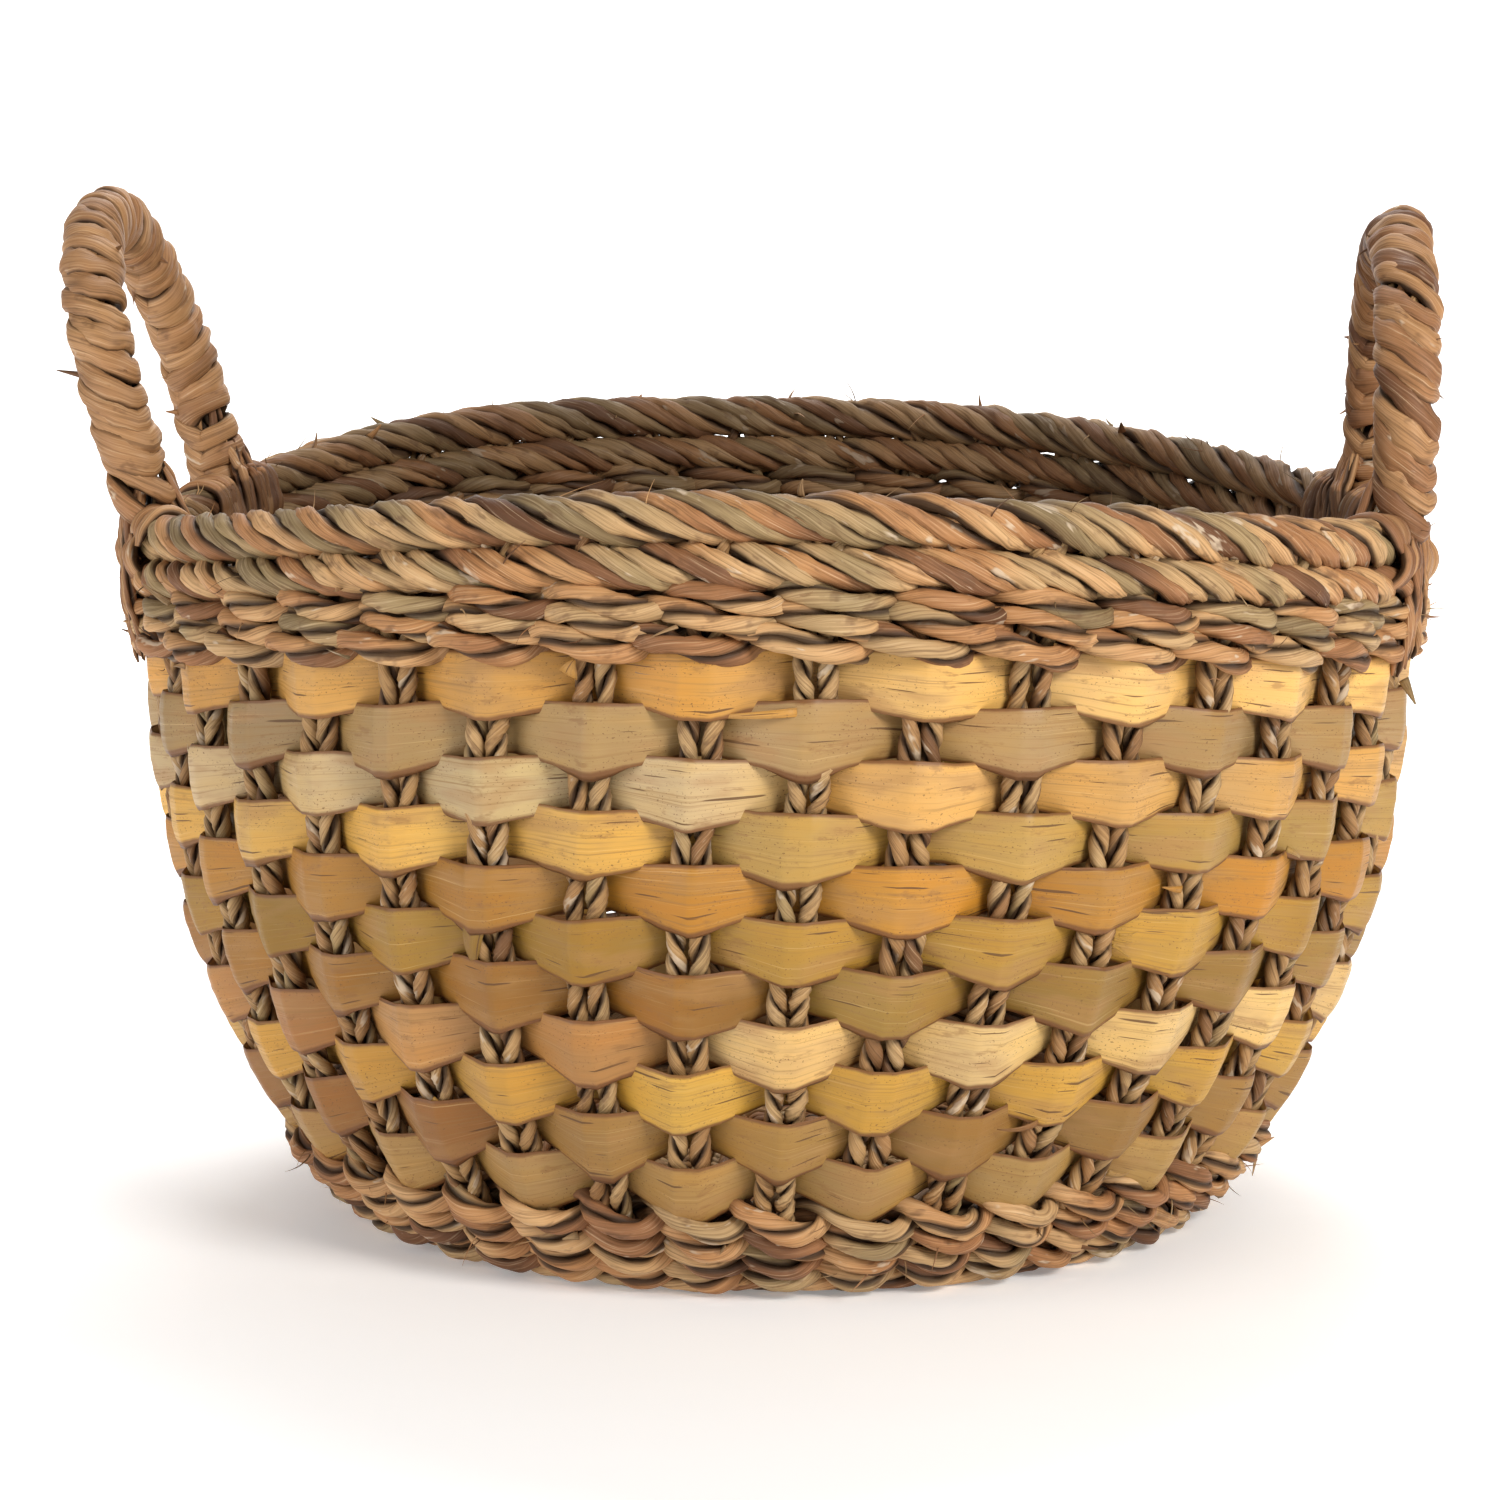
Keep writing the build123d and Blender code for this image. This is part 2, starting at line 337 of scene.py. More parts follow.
# ---------------- materials
def shader(name):
    """A new material with its node helper and its surface node."""
    material = bpy.data.materials.new(name)
    material.use_nodes = True
    tree = material.node_tree
    tree.nodes.clear()
    surface = tree.nodes.new("ShaderNodeBsdfPrincipled")
    output = tree.nodes.new("ShaderNodeOutputMaterial")
    tree.links.new(surface.outputs["BSDF"], output.inputs["Surface"])
    return material, Nodes(tree), surface


class Nodes:
    """Short names for the nodes that every material here uses."""

    def __init__(self, tree):
        self.tree = tree

    def put(self, value, socket):
        if hasattr(value, "is_output"):
            self.tree.links.new(value, socket)
        else:
            socket.default_value = value

    def feed(self, node, inputs):
        for key, value in inputs.items():
            self.put(value, node.inputs[key])

    def make(self, kind, settings=None, inputs=None):
        node = self.tree.nodes.new(kind)
        for key, value in (settings or {}).items():
            setattr(node, key, value)
        self.feed(node, inputs or {})
        return node

    def attribute(self, name):
        return self.make("ShaderNodeAttribute", {"attribute_name": name})

    def math(self, operation, a, b=0.0, clamp=False):
        node = self.make("ShaderNodeMath", {"operation": operation, "use_clamp": clamp})
        self.put(a, node.inputs[0])
        self.put(b, node.inputs[1])
        return node.outputs[0]

    def mix(self, factor, a, b, blend="MIX"):
        node = self.make("ShaderNodeMix", {"data_type": "RGBA", "blend_type": blend})
        self.put(factor, node.inputs[0])
        self.put(a, node.inputs[6])
        self.put(b, node.inputs[7])
        return node.outputs[2]

    def ramp(self, factor, low, high, bottom=0.0, top=1.0):
        node = self.make("ShaderNodeMapRange", {"interpolation_type": "SMOOTHSTEP"})
        for index, value in enumerate((factor, low, high, bottom, top)):
            self.put(value, node.inputs[index])
        return node.outputs[0]

    def vector(self, x, y, z):
        node = self.make("ShaderNodeCombineXYZ")
        for index, value in enumerate((x, y, z)):
            self.put(value, node.inputs[index])
        return node.outputs[0]

    def noise(self, vector, detail=2.0, rough=0.5):
        node = self.make("ShaderNodeTexNoise", None, {
            "Vector": vector, "Scale": 1.0, "Detail": detail, "Roughness": rough})
        return node.outputs["Fac"]

    def palette(self, factor, colours):
        node = self.make("ShaderNodeValToRGB")
        stops = node.color_ramp.elements
        while len(stops) < len(colours):
            stops.new(0.5)
        for index, colour in enumerate(colours):
            stops[index].position = index / (len(colours) - 1)
            stops[index].color = (*colour, 1)
        self.put(factor, node.inputs[0])
        return node.outputs[0]


def grain_coordinates(nodes):
    """Place along the fibre and place across it."""
    grain = nodes.make("ShaderNodeUVMap", {"uv_map": "grain"})
    split = nodes.make("ShaderNodeSeparateXYZ", None, {0: grain.outputs[0]})
    return split.outputs[0], split.outputs[1]


SEAGRASS = [(0.110, 0.044, 0.018), (0.220, 0.095, 0.040), (0.360, 0.160, 0.062), (0.480, 0.235, 0.090),
            (0.600, 0.350, 0.155), (0.500, 0.315, 0.145), (0.350, 0.240, 0.110), (0.240, 0.165, 0.075)]
STAKE_TONES = [(0.190, 0.086, 0.032), (0.350, 0.175, 0.064), (0.440, 0.250, 0.096), (0.500, 0.315, 0.140),
               (0.310, 0.215, 0.088)]
WRAP_TONES = [(0.150, 0.060, 0.025), (0.290, 0.130, 0.054), (0.370, 0.175, 0.070), (0.460, 0.245, 0.104),
              (0.320, 0.155, 0.064)]


def cord_material(name, tones, roughness, papery=0.63):
    """Twisted dry seagrass: streaks along the ply, tone that drifts, pale papery patches.

    tint holds two numbers that differ from ply to ply, and how far inside the basket a point is, which is
    painted there as shade; mark paints the shade of the crevices on the plies' sides.
    """
    material, nodes, surface = shader(name)
    along, across = grain_coordinates(nodes)
    numbers = nodes.attribute("tint").outputs["Vector"]
    tint = nodes.make("ShaderNodeSeparateXYZ", None, {0: numbers}).outputs
    seed = nodes.math("MULTIPLY", tint[0], 37.0)
    drift = nodes.noise(nodes.vector(nodes.math("MULTIPLY", along, 14.0), seed, seed))
    fan = nodes.math("MULTIPLY", tint[1], 0.62)
    tone = nodes.math("ADD", nodes.ramp(drift, 0.30, 0.70, -0.10, 0.50), fan, clamp=True)
    colour = nodes.palette(tone, tones)
    fibre_place = nodes.vector(
        nodes.math("MULTIPLY", along, 55.0), nodes.math("MULTIPLY", across, 2300.0), seed)
    fibre = nodes.noise(fibre_place, 3.0, 0.6)
    colour = nodes.mix(nodes.ramp(fibre, 0.28, 0.56, 0.60, 0.0), colour, (0.10, 0.046, 0.018, 1))
    light = nodes.ramp(fibre, 0.54, 0.76, 0.0, 0.45)
    colour = nodes.mix(light, colour, (0.74, 0.55, 0.33, 1))
    patch_place = nodes.vector(
        nodes.math("MULTIPLY", along, 60.0), nodes.math("MULTIPLY", across, 160.0), seed)
    patch = nodes.ramp(nodes.noise(patch_place, 3.0, 0.65), papery, papery + 0.05)
    colour = nodes.mix(nodes.math("MULTIPLY", patch, 0.75), colour, (0.64, 0.50, 0.35, 1))
    stain_place = nodes.vector(
        nodes.math("MULTIPLY", along, 110.0), nodes.math("MULTIPLY", across, 240.0), 5.0)
    stain = nodes.ramp(nodes.noise(stain_place, 3.0, 0.6), 0.56, 0.68, 0.0, 0.55)
    colour = nodes.mix(stain, colour, (0.13, 0.058, 0.024, 1))
    # painted shade of the crevices between plies, darkest on the sides that face the cord's middle
    painted_crevice_shade = nodes.ramp(nodes.attribute("mark").outputs["Fac"], 0.29, 0.80, 0.0, 0.92)
    colour = nodes.mix(painted_crevice_shade, colour, (0.036, 0.017, 0.007, 1))
    # painted shade inside the basket, from the third number of tint
    colour = nodes.mix(nodes.math("MULTIPLY", tint[2], 0.6), colour, (0.055, 0.026, 0.012, 1))
    bump = nodes.make("ShaderNodeBump", None, {
        "Strength": 0.6, "Distance": 0.4 * MM, "Height": nodes.math("ADD", fibre, patch)})
    nodes.feed(surface, {
        "Base Color": colour, "Normal": bump.outputs[0], "Specular IOR Level": 0.3,
        "Roughness": nodes.ramp(fibre, 0.3, 0.7, roughness + 0.1, roughness - 0.08)})
    return material


def bark_material(name):
    """Folded dry bark: tint is the strip's own colour, mark is 1 at its edges and 2 under them."""
    material, nodes, surface = shader(name)
    along, across = grain_coordinates(nodes)
    tint = nodes.attribute("tint").outputs["Color"]
    edge = nodes.attribute("mark").outputs["Fac"]

    def field(stretch, spread, seed, detail=3.0, rough=0.55):
        place = nodes.vector(nodes.math("MULTIPLY", along, stretch),
                             nodes.math("MULTIPLY", across, spread), seed)
        return nodes.noise(place, detail, rough)

    streak = field(16.0, 1500.0, 0.0, 4.0, 0.62)
    cloud = field(38.0, 110.0, 7.0)
    colour = nodes.mix(nodes.ramp(cloud, 0.35, 0.68, 0.0, 0.42), tint, (0.66, 0.47, 0.22, 1), "SOFT_LIGHT")
    colour = nodes.mix(nodes.ramp(cloud, 0.54, 0.32, 0.0, 0.55), colour, (0.38, 0.19, 0.06, 1))
    colour = nodes.mix(nodes.ramp(streak, 0.50, 0.30, 0.0, 0.60), colour, (0.28, 0.15, 0.050, 1))
    colour = nodes.mix(nodes.ramp(streak, 0.58, 0.74, 0.0, 0.35), colour, (0.74, 0.52, 0.23, 1))
    speck = nodes.ramp(field(1300.0, 1700.0, 3.0, 1.0, 0.5), 0.64, 0.70)
    speck_field = nodes.ramp(field(64.0, 190.0, 7.0, 1.0, 0.5), 0.40, 0.60)
    colour = nodes.mix(nodes.math("MULTIPLY", nodes.math("MULTIPLY", speck, speck_field), 0.75),
                       colour, (0.16, 0.075, 0.025, 1))
    crack = nodes.ramp(field(42.0, 800.0, 11.0, 1.0, 0.4), 0.695, 0.725)
    colour = nodes.mix(nodes.math("MULTIPLY", crack, 0.85), colour, (0.11, 0.048, 0.016, 1))
    bruise = nodes.ramp(field(90.0, 260.0, 19.0, 4.0, 0.65), 0.57, 0.69, 0.0, 0.5)
    colour = nodes.mix(bruise, colour, (0.24, 0.11, 0.035, 1))
    ragged = nodes.math("MULTIPLY", nodes.math("SUBTRACT", field(70.0, 60.0, 23.0, 3.0, 0.6), 0.5), 0.16)
    rim = nodes.ramp(nodes.math("ADD", edge, ragged), 0.84, 0.95, 0.0, 0.88)
    colour = nodes.mix(rim, colour, (0.165, 0.062, 0.018, 1))
    height = nodes.math("SUBTRACT", streak, nodes.math("MULTIPLY", crack, 1.5))
    bump = nodes.make("ShaderNodeBump", None, {"Strength": 0.4, "Distance": 0.3 * MM, "Height": height})
    nodes.feed(surface, {
        "Base Color": colour, "Normal": bump.outputs[0], "Specular IOR Level": 0.34,
        "Roughness": nodes.ramp(streak, 0.3, 0.7, 0.58, 0.40)})
    return material


seagrass = cord_material("seagrass", SEAGRASS, 0.62)
stake_cord = cord_material("stake_cord", STAKE_TONES, 0.60, 0.60)
wrap_grass = cord_material("wrap_grass", WRAP_TONES, 0.55, 0.655)
bark = bark_material("bark")


# ---------------- stakes
def add_stake(weave, index, rng):
    """An upright: two thin cords side by side, most often twisted opposite ways."""
    z = np.linspace(6 * MM, RIM_TOP - 8 * MM, 150)
    slip = wobble(z, rng, 90 * MM, 0.5 * MM, 3)
    for side in (-1, 1):
        shift = side * STAKE_HALF_GAP + slip + wobble(z, rng, 50 * MM, 0.25 * MM, 2)
        angle = stake_angle(index) + shift / wall_radius(z)
        path = wall_point(angle, z, wobble(z, rng, 60 * MM, 0.25 * MM, 2))
        out = wall_point(angle, z, 10 * MM) - wall_point(angle, z, 0)
        hand = side if rng.uniform() < 0.8 else -side
        radius = rng.uniform(2.85, 3.2) * MM
        add_strand(weave, path, out, False, radius, rng.uniform(15, 23) * MM, rng, 2, hand)


def build_stakes():
    per_node = 4
    for group in range(STAKES // per_node):
        rng = np.random.default_rng(100 + group)
        weave = Weave()
        for index in range(group * per_node, group * per_node + per_node):
            add_stake(weave, index, rng)
        weave.piece(f"stake_cords_{group + 1:02d}", stake_cord, "stake_cord",
                    nodes=[f"stakes_{group + 1:02d}"])


# ---------------- flat strips
STRIP_TONES = [             # bark of each row from the top, left of the front and right of it
    # the top row's right tone is its own colour lightened partly as a painted highlight of its lit facets
    ((0.545, 0.285, 0.070), (0.720, 0.440, 0.155)),
    ((0.344, 0.229, 0.099), (0.339, 0.218, 0.089)),
    ((0.490, 0.360, 0.190), (0.585, 0.330, 0.105)),
    ((0.600, 0.347, 0.081), (0.394, 0.246, 0.066)),
    ((0.370, 0.178, 0.030), (0.440, 0.205, 0.028)),
    ((0.283, 0.162, 0.026), (0.415, 0.238, 0.041)),
    ((0.295, 0.139, 0.024), (0.265, 0.158, 0.034)),
    ((0.365, 0.177, 0.057), (0.640, 0.430, 0.180)),
    ((0.515, 0.284, 0.057), (0.555, 0.320, 0.056)),
    ((0.255, 0.116, 0.032), (0.290, 0.163, 0.043)),
    ((0.370, 0.225, 0.076), (0.385, 0.242, 0.081)),
]
INNER_TONE = 0.72           # the bark's inner face is darker
JOINS = [30, 29, 30, 29, 28, 29, 30, 29, 28, 27, 30]      # stakes that hide the joins at the front
PER_STAKE = 30              # points of a strip from one stake to the next
FRONT_SIDES = 15            # points across a strip's outer face
BACK_SIDES = 6


def strip_path(row, rng):
    """Uneven run of one strip: how far it stands out, and the shift and growth of each crest."""
    t = np.arange(STAKES * PER_STAKE) / PER_STAKE
    crest, lift, growth, tone = (np.zeros_like(t) for _ in range(4))
    for index in range(STAKES):
        if (index + row) % 2:
            continue
        away = (t - index + STAKES / 2) % STAKES - STAKES / 2
        flat = rng.uniform(0.03, 0.15)
        shift = rng.uniform(-0.06, 0.06)
        ramped = 1 - np.clip((np.abs(away - shift) - flat) / (0.86 - flat), 0, 1)
        crest = np.maximum(crest, ramped * rng.uniform(0.94, 1.08))
        near = 1 - smoothstep(np.abs(away), 0.5, 1.0)
        lift += near * (rng.uniform(-0.5, 0.5) + away * rng.uniform(-0.9, 0.9)) * MM
        growth += near * rng.uniform(-0.06, 0.06)
        tone += near * rng.uniform(-0.13, 0.12)
    return t, crest, lift, growth, tone


def build_strip(row):
    """One row of bark strip: over a stake, behind the next, with creases where it turns."""
    rng = np.random.default_rng(200 + row)
    name = strip_nodes[row - 1]
    middle = middle_of(name) + STRIP_LIFT
    t, crest, lift, growth, crest_tone = strip_path(row, rng)
    angle = FIRST_STAKE + TAU / STAKES * t
    offset = (2 * crest - 1) * STRIP_OFFSET + wobble(t, rng, 3.1, 0.15 * MM, 2, STAKES)
    tall = (CREST_HEIGHT - TUCK_HEIGHT) * np.clip(crest, 0, 1.1)**1.15
    base = TUCK_HEIGHT / 2 * (1 + growth + wobble(t, rng, 2.3, 0.02, 3, STAKES))
    above = base + (0.2 + wobble(t, rng, 2.7, 0.1, 1, STAKES)) * tall
    below = base + (0.8 + wobble(t, rng, 3.3, 0.1, 1, STAKES)) * tall
    puff = (0.4 + 0.6 * crest) * MM * (1 + wobble(t, rng, 1.7, 0.25, 2, STAKES))
    front = np.sin(np.linspace(-1, 1, FRONT_SIDES) * math.pi / 2)
    back = np.linspace(1, -1, BACK_SIDES + 2)[1:-1]
    v = np.concatenate([[-1], front, back])
    is_front = np.concatenate([[0], np.ones(FRONT_SIDES), np.zeros(BACK_SIDES)])
    dome = 1 - np.abs(v)**4.5
    ridge = wobble(t, rng, 2.9, 0.25, 2, STAKES)[:, None]
    fold = 0.25 * MM * np.exp(-((v[None, :] - ridge) / 0.12)**2) * is_front
    out = puff[:, None] * dome[None, :] + fold
    out = out - (1 - is_front)[None, :] * STRIP_THICK * (0.3 + 0.7 * dome)[None, :]
    ragged = wobble(t, rng, 0.9, 0.12 * MM, 4, STAKES)[:, None]
    reach = np.where(v[None, :] > 0, above[:, None], below[:, None]) + ragged
    z = middle + lift[:, None] + v[None, :] * reach
    lip = np.clip(wobble(t, rng, 1.9, 0.8, 3, STAKES), 0, 1) * crest
    z[:, 0] -= 1.4 * MM * lip
    points = wall_point(angle[:, None] + 0 * z, z, offset[:, None] + out)
    back_join = 8 + (row + 1) % 2 + 2 * rng.integers(-1, 2)
    first, second = (np.array(tone) for tone in STRIP_TONES[row - 1])
    mix = ((t > JOINS[row - 1]) | (t < back_join)).astype(float)
    drift = (mix + wobble(t, rng, 7, 0.12, 3, STAKES))[:, None, None]
    tone = first * (1 - drift) + second * drift
    tone = tone * (1 + crest_tone + wobble(t, rng, 2.1, 0.05, 3, STAKES))[:, None, None]
    tone = tone * (1 + wobble(t, rng, 2.6, 0.09, 2, STAKES)[:, None, None] * np.array([0.3, 0, -1]))
    tint = tone * np.where(is_front, 1.0, INNER_TONE)[None, :, None]
    mark = np.broadcast_to(np.abs(v), z.shape)
    weave = Weave()
    along = t * TAU / STAKES * float(wall_radius(middle)) + row * 3.0
    across = np.concatenate([[-0.1], (front + 1) / 2, 1 + (1 - back) / 2]) * CREST_HEIGHT
    weave.grid(points, along, across + row * 0.1, tint, mark, closed=True)
    weave.piece(f"bark_strip_{row:02d}", bark, "bark_strip", nodes=[name])


# ---------------- twined rows
REST_HEIGHT = 4.2 * MM      # the middle of a cord that lies on the ground
SOFT_REST = 0.6 * MM        # how softly a cord levels out there
ROW_SAMPLES = 1100


def ring_path(height, radial, vertical, strand, slip, rng):
    """Path of one of a row's two cords: outside one stake and inside the next."""
    t = np.arange(ROW_SAMPLES) / ROW_SAMPLES * STAKES
    phase = TAU * (t + strand) / 2 + slip
    phase = phase + wobble(t, rng, 9, 0.14, 3, STAKES)
    angle = FIRST_STAKE + TAU / STAKES * t
    z = height - vertical * np.sin(phase) + wobble(t, rng, 6, 0.35 * MM, 3, STAKES)
    offset = radial * np.cos(phase)
    offset = radial * np.sign(offset) * np.abs(offset / radial)**0.75
    path = wall_point(angle, z, offset)
    out = wall_point(angle, z, offset + 5 * MM) - path
    path[:, 2] = np.logaddexp(path[:, 2] / SOFT_REST, REST_HEIGHT / SOFT_REST) * SOFT_REST
    return path, out


def build_twine(name, node, height, radius, radial, vertical, seed):
    """A row of two cords that cross between the stakes, one outside while the other is inside."""
    rng = np.random.default_rng(seed)
    weave = Weave()
    slip = rng.choice([-1, 1]) * rng.uniform(0.25, 0.6)
    for strand in range(2):
        path, out = ring_path(height, radial, vertical, strand, slip, rng)
        grade = rng.uniform(0.94, 1.06)
        pitch = 54 * MM * rng.uniform(0.85, 1.15)
        add_strand(weave, path, out, True, radius * grade, pitch, rng, 2, -1, 10, core=0.45)
    weave.piece(name, seagrass, "seagrass_cord", nodes=[node] if node else [])


def build_bands():
    """The twined rows above and below the strips."""
    for number, node in enumerate(upper_nodes):
        height = middle_of(node) + 0.3 * MM
        build_twine(f"upper_twined_cord_{number + 1}", node, height, 3.6 * MM, 6.2 * MM, 2.5 * MM,
                    300 + number)
    for number, node in enumerate(lower_nodes):
        build_twine(f"lower_twined_cord_{number + 1}", node, middle_of(node), 3.5 * MM, 6.2 * MM,
                    2.1 * MM, 320 + number)


def build_foot():
    """Two thick twined rows that turn in under the wall, so the lowest one is the rest."""
    build_twine("foot_cord_upper", None, 9.6 * MM, 3.6 * MM, 5.6 * MM, 1.6 * MM, 350)
    build_twine("foot_cord_lower", "foot_ring", 5.2 * MM, 3.5 * MM, 4.6 * MM, 1.0 * MM, 351)


# ---------------- rim border
def rim_point(a, reach, twist):
    """A point at some reach from the middle of the border rope, turned about it by twist."""
    middle = RIM_TOP - BORDER_HALF
    radius = RIM_RADIUS + reach * np.cos(twist)
    z = middle + rise(a, middle) + reach * np.sin(twist)
    return np.stack([radius * np.cos(a), radius * np.sin(a), z], -1)


def wale_point(a, reach, twist):
    """The same for the row below the border, which is flatter because it holds the stakes."""
    middle = middle_of("rim_wale") + 0.6 * MM
    return wall_point(a, middle + 0.68 * reach * np.sin(twist), 1.2 * reach * np.cos(twist))


def build_rope(name, node, place, lay, reach, thick, wide, seed):
    """Rope of three pairs of flat plies, laid round a core of two cords."""
    rng = np.random.default_rng(seed)
    weave = Weave()
    samples = 1200
    half_pair = 0.43        # turn between a pair's middle and either of its plies
    a = np.arange(samples) / samples * TAU
    turns = round(TAU * RIM_RADIUS / lay)
    for pair in range(3):
        sway = wobble(a, rng, 1.1, 0.16, 3, TAU)
        for member in (-1, 1):
            sway_on = sway + wobble(a, rng, 0.6, 0.08, 2, TAU)
            twist = -(turns * a + TAU * pair / 3 + half_pair * member + sway_on)
            out_by = reach + wobble(a, rng, 0.3, 0.36 * MM, 3, TAU) + 0.3 * MM * member
            path = place(a, out_by, twist)
            grade = rng.uniform(0.92, 1.10)
            add_ply(weave, path, path - place(a, 0, twist), True, thick * grade, wide * grade, rng, 12,
                    deep=1.75)
    middle = place(a, 0, 0 * a)
    add_strand(weave, middle, place(a, 3 * MM, 0 * a) - middle, True, reach * 0.8, 60 * MM, rng, 2, -1, 8)
    weave.piece(name, seagrass, "seagrass_cord", nodes=[node])


def build_border():
    """The border rope along the rim and the wale under it."""
    build_rope("rim_border_rope", "rim_border", rim_point, 62 * MM, 4.5 * MM, 2.7 * MM, 2.65 * MM, 400)
    build_rope("rim_wale_cord", "rim_wale", wale_point, 60 * MM, 5.0 * MM, 2.5 * MM, 2.5 * MM, 340)


# ---------------- handles
HANDLE_LEANS = {"left": math.radians(15.5), "right": math.radians(1)}


def read_handles():
    """Side, pivot, half span, top and outward lean of each handle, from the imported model."""
    handles = {}
    for joint in frame["record"]["behaviour"]["joints"]:
        pivot = joint["pos_m"]
        name = joint["child"].replace("handle_", "")
        low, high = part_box(f"handle_{name}_wrap")
        handles[name] = {"side": math.copysign(1, pivot[0]), "pivot": np.array(pivot),
                         "half_span": (high.y - low.y) / 2 - HANDLE_GRIP,
                         "top": high.z - HANDLE_GRIP, "lean": HANDLE_LEANS[name]}
    return handles


HANDLES = read_handles()
HANDLE_DROP = 9 * MM        # how far the legs go on below the pivot
WRAP_PITCH = 14.6 * MM      # along the handle for one turn of the wrapping
WRAP_SLIDE = 12.5 * MM      # along it from the V of a turn to the opposite side
WRAP_RIDGE = 0.73           # turn of the V from the handle's front or back, towards its outer face


def handle_path(handle, drop, samples):
    """Middle of a handle from the front leg's foot over the arch to the back leg's foot."""
    span = handle["half_span"]
    arm = (handle["top"] - handle["pivot"][2]) / math.cos(handle["lean"])
    straight = max(arm - span, 0) + drop
    length = 2 * straight + math.pi * span
    s = np.linspace(0, length, samples)
    turn = np.clip((s - straight) / span, 0, math.pi)
    y = -span * np.cos(turn)
    h = arm - span + span * np.sin(turn)
    h = h - np.clip(straight - s, 0, None) - np.clip(s - straight - math.pi * span, 0, None)
    lean = handle["lean"] * smoothstep(h, -14 * MM, 6 * MM) * handle["side"]
    local = np.stack([h * np.sin(lean), y, h * np.cos(lean)], -1)
    outward = np.stack([np.cos(lean), 0 * lean, -np.sin(lean)], -1) * handle["side"]
    return s, local + handle["pivot"] * [1, 0, 1], outward


def blend_handle(piece):
    """Bake the piece's placement into its mesh."""
    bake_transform(piece)


def build_handle_wrap(name):
    """Two broad plies wound round the core, each turn bent into a V on the front right side."""
    handle = HANDLES[name]
    rng = np.random.default_rng(500 + (name == "left"))
    per_turn = 44
    turns = handle_path(handle, HANDLE_DROP, 4)[0][-1] / WRAP_PITCH
    s, path, outward = handle_path(handle, HANDLE_DROP, int(turns * per_turn))
    along = tangents(path, False)
    across = np.cross(along, outward)
    weave = Weave()
    sway = wobble(s, rng, 60 * MM, 0.35, 3)
    for ply in range(2):
        turn = math.pi * ply - TAU * s / WRAP_PITCH + sway + wobble(s, rng, 30 * MM, 0.16, 2)
        ridge = WRAP_RIDGE - handle["side"] * math.pi / 2 + wobble(s, rng, 80 * MM, 0.3, 2)
        away = (turn - ridge + math.pi) % TAU - math.pi
        slide = WRAP_SLIDE * (np.abs(away) / math.pi - 0.5)
        knot = np.exp(-(away / 0.5)**2) + 0.35 * np.exp(-((np.abs(away) - 2.2) / 0.5)**2)
        reach = HANDLE_CORE + 1.1 * MM + 1.1 * MM * knot + wobble(s, rng, 15 * MM, 0.45 * MM, 3)
        out = np.cos(turn)[:, None] * outward + np.sin(turn)[:, None] * across
        centre = path + out * reach[:, None] + along * slide[:, None]
        broad = 3.9 * MM * (1 + wobble(s, rng, 27 * MM, 0.14, 2))
        add_ply(weave, centre, out, False, 2.6 * MM, broad, rng, 14, True, 1.6)
    for at in rng.integers(len(s) // 10, 9 * len(s) // 10, 11):
        way = outward[at] * rng.uniform(-1, 1) + across[at] * rng.uniform(-1, 1)
        start = path[at] + unit(way) * (HANDLE_GRIP - 1.5 * MM)
        bend = along[at] * rng.uniform(-1, 1) + outward[at] * 0.3
        wide = rng.uniform(0.4, 1.4) * MM
        add_curl(weave, start, way + along[at] * rng.uniform(-1, 1), bend, rng.uniform(4, 8) * MM,
                 0.25 * MM, wide, rng)
    piece = weave.piece(f"handle_{name}_wrapping", wrap_grass, "handle_wrap", body=None,
                        nodes=[f"handle_{name}_wrap"])
    blend_handle(piece)


def build_handle_core(name):
    """The bundle of cords inside the wrapping, seen where the wrapping gapes."""
    rng = np.random.default_rng(520 + (name == "left"))
    _, path, outward = handle_path(HANDLES[name], HANDLE_DROP, 200)
    weave = Weave()
    add_strand(weave, path, outward, False, HANDLE_CORE, 90 * MM, rng, 5, 1, 10)
    piece = weave.piece(f"handle_{name}_cord_bundle", seagrass, "seagrass_cord", body=None,
                        nodes=[f"handle_{name}_core"])
    blend_handle(piece)


def smooth_route(points, samples):
    """Curve through a few given points, evenly spaced in the list."""
    points = np.array(points)
    t = np.linspace(0, len(points) - 1, samples)
    low = np.clip(t.astype(int), 0, len(points) - 2)
    f = (t - low)[:, None]
    p0 = points[np.maximum(low - 1, 0)]
    p1, p2 = points[low], points[low + 1]
    p3 = points[np.minimum(low + 2, len(points) - 1)]
    return 0.5 * (2 * p1 + (p2 - p0) * f + (2 * p0 - 5 * p1 + 4 * p2 - p3) * f**2
                  + (3 * p1 - p0 - 3 * p2 + p3) * f**3)


def leg_angle(name, end):
    """Angle at which a leg meets the rim. end is -1 for the front leg and 1 for the back."""
    handle = HANDLES[name]
    lean = math.atan2(handle["half_span"], abs(handle["pivot"][0])) * end
    return lean if handle["side"] > 0 else math.pi - lean


